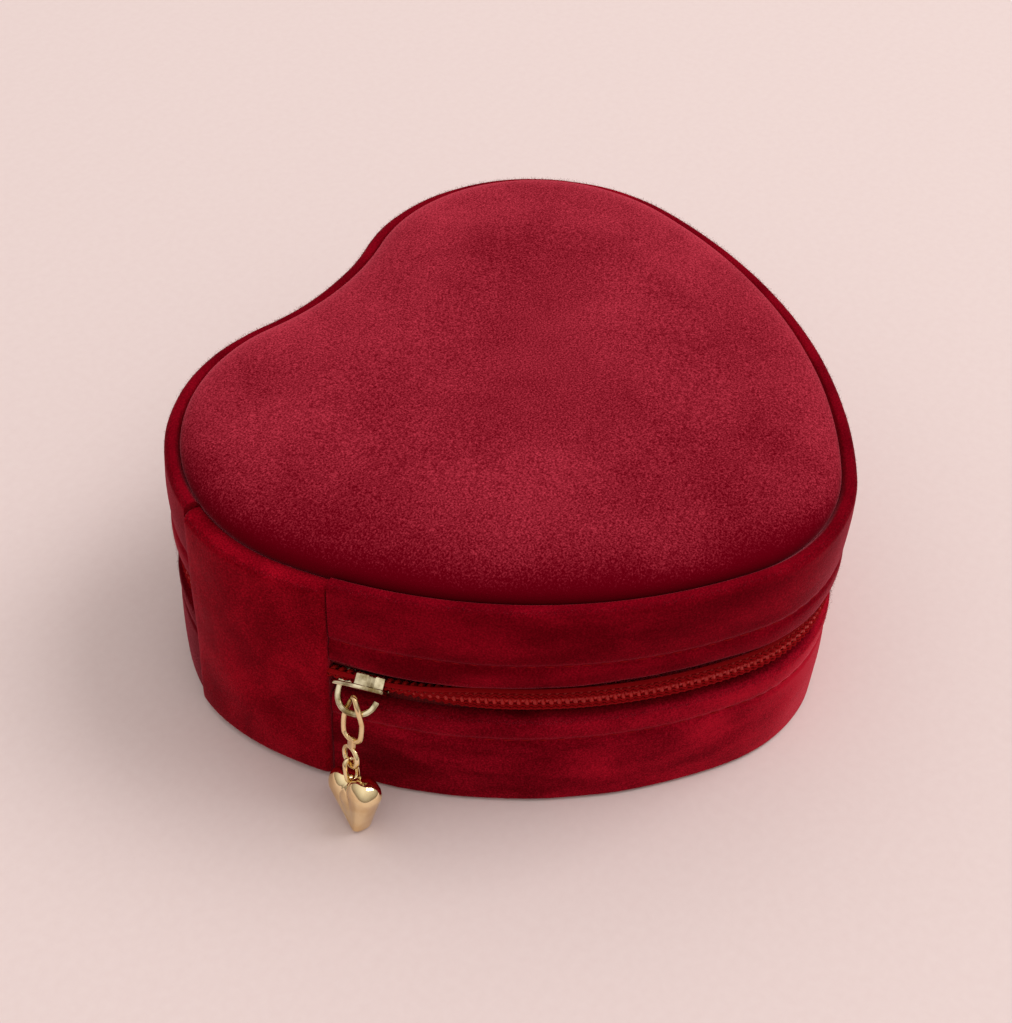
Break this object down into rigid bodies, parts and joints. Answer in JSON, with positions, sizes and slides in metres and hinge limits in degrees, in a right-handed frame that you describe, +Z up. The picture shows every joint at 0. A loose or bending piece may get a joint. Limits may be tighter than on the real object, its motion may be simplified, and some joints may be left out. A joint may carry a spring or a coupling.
{
  "type": "heart jewellery case",
  "caption": "Heart-shaped velvet jewellery case with a padded lid, a zip round its waist, a fabric hinge on one lobe and a heart charm on the zip pull.",
  "frame": {"origin": "middle of the heart's box on the underside that the case stands on", "axes": "+Z up, +Y from the heart's tip to its notch, hinge on the -X lobe"},
  "size_m": [0.1191, 0.1018, 0.0482],
  "materials": {
    "red_velvet": "short-pile velvet, foam backed",
    "lining_velvet": "flocked velvet lining",
    "greyboard": "pressed greyboard",
    "pad_foam": "open-cell foam",
    "zip_tape": "woven polyester tape",
    "zip_nylon": "dyed nylon coil",
    "gold_slider": "pale gold plate on zinc casting",
    "gold_pull": "warm gold plate on zinc casting",
    "mirror_glass": "silvered glass"
  },
  "bodies": {
    "base": {"bottom_cover": "red_velvet", "base_floor_board": "greyboard", "base_floor_lining": "lining_velvet", "base_wall_board": "greyboard", "base_wall_lining": "lining_velvet", "base_side_velvet": "red_velvet", "cross_divider": "lining_velvet", "lobe_divider": "lining_velvet", "ring_roll_1": "lining_velvet", "ring_roll_2": "lining_velvet", "ring_roll_3": "lining_velvet", "ring_roll_4": "lining_velvet", "zip_tape_lower": "zip_tape", "zip_coil_lower": "zip_nylon", "hinge_panel": "red_velvet", "hinge_lining": "lining_velvet"},
    "lid": {"lid_wall_board": "greyboard", "lid_wall_lining": "lining_velvet", "lid_side_velvet": "red_velvet", "lid_top_board": "greyboard", "lid_top_foam": "pad_foam", "lid_top_velvet": "red_velvet", "lid_lining_panel": "lining_velvet", "lid_mirror": "mirror_glass", "zip_tape_upper": "zip_tape", "zip_coil_upper": "zip_nylon"},
    "slider": {"slider_body": "gold_slider", "slider_bail": "gold_slider"},
    "link": {"pull_link": "gold_pull"},
    "charm": {"heart_charm": "gold_pull"}
  },
  "joints": [
    {"name": "lid_hinge", "type": "hinge", "parent": "base", "child": "lid", "pos_m": [-0.0568, 0.0181, 0.0242], "axis": [0, -1, 0], "range_deg": [0, 110], "deforming": ["hinge_panel", "hinge_lining", "zip_tape_upper", "zip_coil_upper"]},
    {"name": "zip_travel", "type": "hinge", "parent": "base", "child": "slider", "pos_m": [0.02771, 0.02718, 0.0242], "axis": [0, 0, 1], "range_deg": [0, 38], "deforming": ["zip_tape_lower", "zip_coil_lower"]},
    {"name": "link_swing", "type": "hinge", "parent": "slider", "child": "link", "pos_m": [-0.05609, -0.00182, 0.02097], "axis": [-0.326, 0.9454, 0], "range_deg": [-6, 40]},
    {"name": "charm_swing", "type": "hinge", "parent": "link", "child": "charm", "pos_m": [-0.05794, -0.00246, 0.01091], "axis": [0.3251, 0.9457, 0], "range_deg": [-12, 65]}
  ]
}
